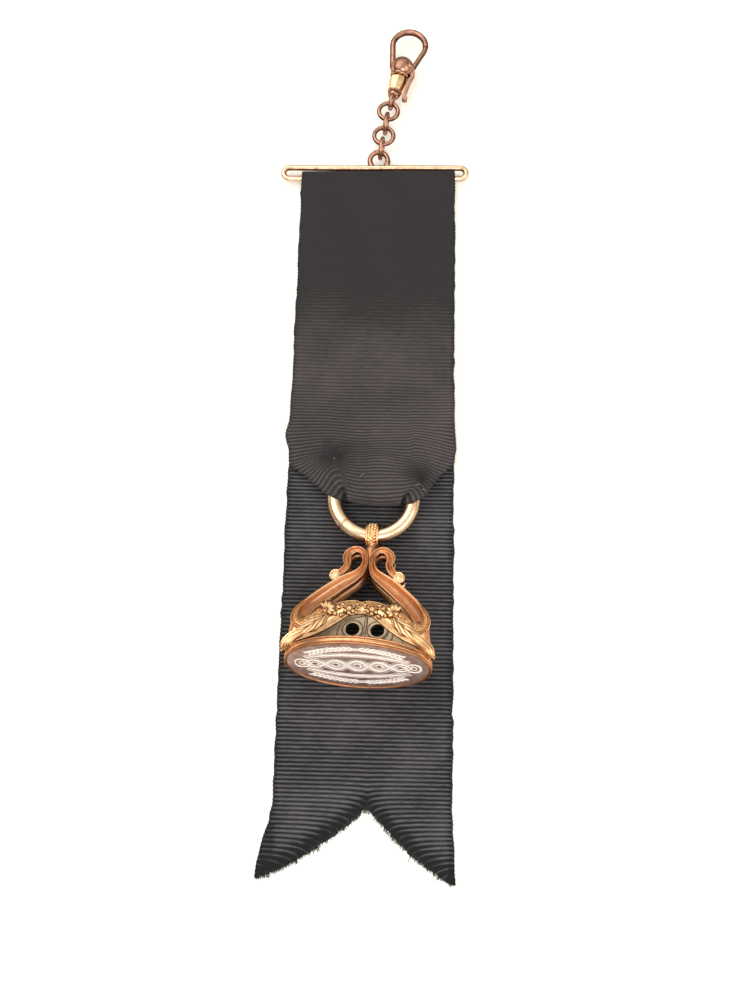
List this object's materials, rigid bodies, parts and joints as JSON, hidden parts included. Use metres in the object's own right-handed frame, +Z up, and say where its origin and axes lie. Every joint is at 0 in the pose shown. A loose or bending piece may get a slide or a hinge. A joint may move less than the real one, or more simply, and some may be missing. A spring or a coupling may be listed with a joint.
{
  "type": "pocket watch fob",
  "caption": "Ribbed silk ribbon watch fob with a wire bar, short chain and spring-gate swivel, and an oval seal on a ring.",
  "frame": {"origin": "on the ribbon's underside, on its centreline, about half way along the whole fob", "axes": "+X across the ribbon to the right, +Y along the ribbon towards the chain and swivel, +Z up, away from the table"},
  "size_m": [0.0391, 0.1771, 0.0184],
  "materials": {
    "ribbon": "ribbed silk",
    "thread": "matt thread",
    "gold": "polished",
    "dull_gold": "dull",
    "red_gold": "worn polish",
    "face_metal": "satin, engraved",
    "spring_steel": "satin"
  },
  "bodies": {
    "ribbon": {"ribbon_back": "ribbon", "ribbon_fold": "ribbon"},
    "front_fall": {"ribbon_front": "ribbon", "tack_stitches": "thread"},
    "bar": {"ribbon_bar": "gold", "bar_eye": "gold"},
    "link_1": {"chain_link_1": "red_gold"},
    "link_2": {"chain_link_2": "red_gold"},
    "link_3": {"chain_link_3": "red_gold"},
    "link_4": {"chain_link_4": "red_gold"},
    "swivel_end": {"swivel_eye": "red_gold", "shank_rivet": "red_gold"},
    "swivel": {"swivel_hook": "red_gold", "swivel_body": "red_gold", "gate_pin": "red_gold", "gate_spring": "spring_steel", "swivel_barrel": "red_gold"},
    "gate": {"swivel_gate": "red_gold"},
    "ring": {"split_ring": "gold"},
    "seal": {"seal_bail": "gold", "bail_beads": "gold", "arm_front_right": "gold", "arm_front_left": "gold", "arm_rear_right": "gold", "arm_rear_left": "gold", "leaf_right": "gold", "leaf_left": "gold", "rosettes": "gold", "rear_gallery": "dull_gold", "base_floor": "dull_gold", "base_rim": "gold", "seal_face": "face_metal"}
  },
  "joints": [
    {"name": "flap_lift", "type": "hinge", "parent": "ribbon", "child": "front_fall", "pos_m": [0, 0.0513, 0.0013], "axis": [-1, 0, 0], "range_deg": [0, 60], "deforming": ["ribbon_fold"]},
    {"name": "bar_turn", "type": "hinge", "parent": "ribbon", "child": "bar", "pos_m": [0, 0.0513, 0.0013], "axis": [1, 0, 0], "range_deg": [-25, 45]},
    {"name": "link_1_swing", "type": "hinge", "parent": "bar", "child": "link_1", "pos_m": [0.00036, 0.05686, 0.00245], "axis": [0.9903, -0.1363, -0.0282], "range_deg": [-60, 60]},
    {"name": "link_2_swing", "type": "hinge", "parent": "link_1", "child": "link_2", "pos_m": [0.00077, 0.05983, 0.00245], "axis": [0, 0, 1], "range_deg": [-60, 60]},
    {"name": "link_3_swing", "type": "hinge", "parent": "link_2", "child": "link_3", "pos_m": [0.0012, 0.06286, 0.00245], "axis": [-0.9903, 0.1392, 0], "range_deg": [-60, 60]},
    {"name": "link_4_swing", "type": "hinge", "parent": "link_3", "child": "link_4", "pos_m": [0.00162, 0.06588, 0.00245], "axis": [0, 0, -1], "range_deg": [-60, 60]},
    {"name": "swivel_end_swing", "type": "hinge", "parent": "link_4", "child": "swivel_end", "pos_m": [0.00225, 0.06886, 0.00245], "axis": [0.9703, -0.2419, 0], "range_deg": [-60, 60]},
    {"name": "swivel_turn", "type": "hinge", "parent": "swivel_end", "child": "swivel", "pos_m": [0.0029, 0.07143, 0.00245], "axis": [0.2419, 0.9703, 0], "continuous": true},
    {"name": "gate_press", "type": "hinge", "parent": "swivel", "child": "gate", "pos_m": [0.00597, 0.07736, 0.00245], "axis": [0, 0, 1], "range_deg": [0, 22], "stiffness_Nm_per_rad": 0.002, "springref_deg": -5.73},
    {"name": "ring_turn", "type": "hinge", "parent": "front_fall", "child": "ring", "pos_m": [0.00072, -0.01945, 0.003], "axis": [0, 0, 1], "range_deg": [-30, 30]},
    {"name": "seal_swing", "type": "hinge", "parent": "ring", "child": "seal", "pos_m": [0.00072, -0.02685, 0.003], "axis": [-1, 0, 0], "range_deg": [0, 85]}
  ]
}
